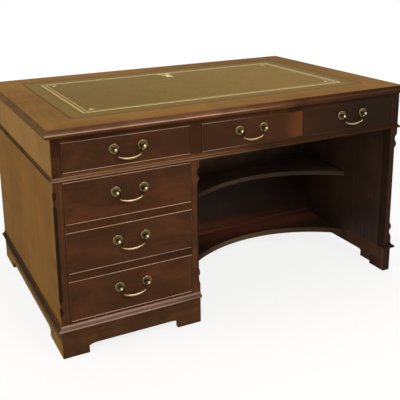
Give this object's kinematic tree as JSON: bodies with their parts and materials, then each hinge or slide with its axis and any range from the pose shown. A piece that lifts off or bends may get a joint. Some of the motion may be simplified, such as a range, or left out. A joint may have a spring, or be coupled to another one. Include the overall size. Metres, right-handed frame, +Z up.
{
  "type": "single pedestal desk",
  "caption": "Writing desk with a leathered top, drawers in one pedestal and in the frieze, hollow-fronted kneehole shelves, bracket feet and swinging bail handles.",
  "frame": {"origin": "on the floor under the middle of the top", "axes": "+Z up, drawers facing -Y, +X to the right of someone sitting at the drawers"},
  "size_m": [1.422, 0.914, 0.775],
  "materials": {
    "mahogany_top": "polished, crossbanded",
    "mahogany": "polished",
    "mahogany_veneer": "polished flame veneer",
    "mahogany_moulding": "polished",
    "oak": "plain, waxed",
    "leather": "antiqued, gold-tooled",
    "brass": "antique"
  },
  "bodies": {
    "carcass": {"top_panel": "mahogany_top", "leather_inset": "leather", "frieze_face_frame": "mahogany", "frieze_ends": "mahogany", "frieze_back": "mahogany", "frieze_partition": "oak", "frieze_runners": "oak", "waist_moulding": "mahogany_moulding", "pedestal_posts": "mahogany", "pedestal_rails": "mahogany", "pedestal_sides": "mahogany", "pedestal_back": "mahogany", "pedestal_boards": "oak", "pedestal_runners": "oak", "end_post": "mahogany", "end_panel": "mahogany", "pedestal_plinth_front": "mahogany", "pedestal_plinth_back": "mahogany", "pedestal_plinth_sides": "mahogany", "end_plinth": "mahogany", "end_lining": "mahogany", "foot_blocks": "mahogany", "plinth_mouldings": "mahogany_moulding", "lower_shelf": "mahogany", "upper_shelf": "mahogany", "kneehole_panel": "mahogany", "base_strip": "mahogany_moulding", "drawer_stops": "oak"},
    "lower_drawer": {"lower_drawer_front": "mahogany_veneer", "lower_drawer_cockbead": "mahogany_moulding", "lower_drawer_box": "oak", "lower_drawer_bottom": "oak", "lower_handle_posts": "brass"},
    "middle_drawer": {"middle_drawer_front": "mahogany_veneer", "middle_drawer_cockbead": "mahogany_moulding", "middle_drawer_box": "oak", "middle_drawer_bottom": "oak", "middle_handle_posts": "brass"},
    "upper_drawer": {"upper_drawer_front": "mahogany_veneer", "upper_drawer_cockbead": "mahogany_moulding", "upper_drawer_box": "oak", "upper_drawer_bottom": "oak", "upper_handle_posts": "brass"},
    "frieze_drawer": {"frieze_drawer_front": "mahogany_veneer", "frieze_drawer_cockbead": "mahogany_moulding", "frieze_drawer_box": "oak", "frieze_drawer_bottom": "oak", "frieze_handle_posts": "brass"},
    "wide_drawer": {"wide_drawer_front": "mahogany_veneer", "wide_drawer_cockbead": "mahogany_moulding", "wide_drawer_box": "oak", "wide_drawer_bottom": "oak", "wide_left_handle_posts": "brass", "wide_right_handle_posts": "brass"},
    "lower_bail": {"lower_handle_bail": "brass"},
    "middle_bail": {"middle_handle_bail": "brass"},
    "upper_bail": {"upper_handle_bail": "brass"},
    "frieze_bail": {"frieze_handle_bail": "brass"},
    "wide_left_bail": {"wide_left_handle_bail": "brass"},
    "wide_right_bail": {"wide_right_handle_bail": "brass"}
  },
  "joints": [
    {"name": "lower_drawer_slide", "type": "slide", "parent": "carcass", "child": "lower_drawer", "axis": [0, -1, 0], "range_m": [0, 0.44]},
    {"name": "middle_drawer_slide", "type": "slide", "parent": "carcass", "child": "middle_drawer", "axis": [0, -1, 0], "range_m": [0, 0.44]},
    {"name": "upper_drawer_slide", "type": "slide", "parent": "carcass", "child": "upper_drawer", "axis": [0, -1, 0], "range_m": [0, 0.44]},
    {"name": "frieze_drawer_slide", "type": "slide", "parent": "carcass", "child": "frieze_drawer", "axis": [0, -1, 0], "range_m": [0, 0.44]},
    {"name": "wide_drawer_slide", "type": "slide", "parent": "carcass", "child": "wide_drawer", "axis": [0, -1, 0], "range_m": [0, 0.44]},
    {"name": "lower_bail_swing", "type": "hinge", "parent": "lower_drawer", "child": "lower_bail", "pos_m": [-0.437, -0.449, 0.2105], "axis": [-1, 0, 0], "range_deg": [-12, 90]},
    {"name": "middle_bail_swing", "type": "hinge", "parent": "middle_drawer", "child": "middle_bail", "pos_m": [-0.437, -0.449, 0.3775], "axis": [-1, 0, 0], "range_deg": [-12, 90]},
    {"name": "upper_bail_swing", "type": "hinge", "parent": "upper_drawer", "child": "upper_bail", "pos_m": [-0.437, -0.449, 0.5445], "axis": [-1, 0, 0], "range_deg": [-12, 90]},
    {"name": "frieze_bail_swing", "type": "hinge", "parent": "frieze_drawer", "child": "frieze_bail", "pos_m": [-0.437, -0.449, 0.687], "axis": [-1, 0, 0], "range_deg": [-12, 90]},
    {"name": "wide_left_bail_swing", "type": "hinge", "parent": "wide_drawer", "child": "wide_left_bail", "pos_m": [0.021, -0.449, 0.687], "axis": [-1, 0, 0], "range_deg": [-12, 90]},
    {"name": "wide_right_bail_swing", "type": "hinge", "parent": "wide_drawer", "child": "wide_right_bail", "pos_m": [0.46, -0.449, 0.687], "axis": [-1, 0, 0], "range_deg": [-12, 90]}
  ]
}
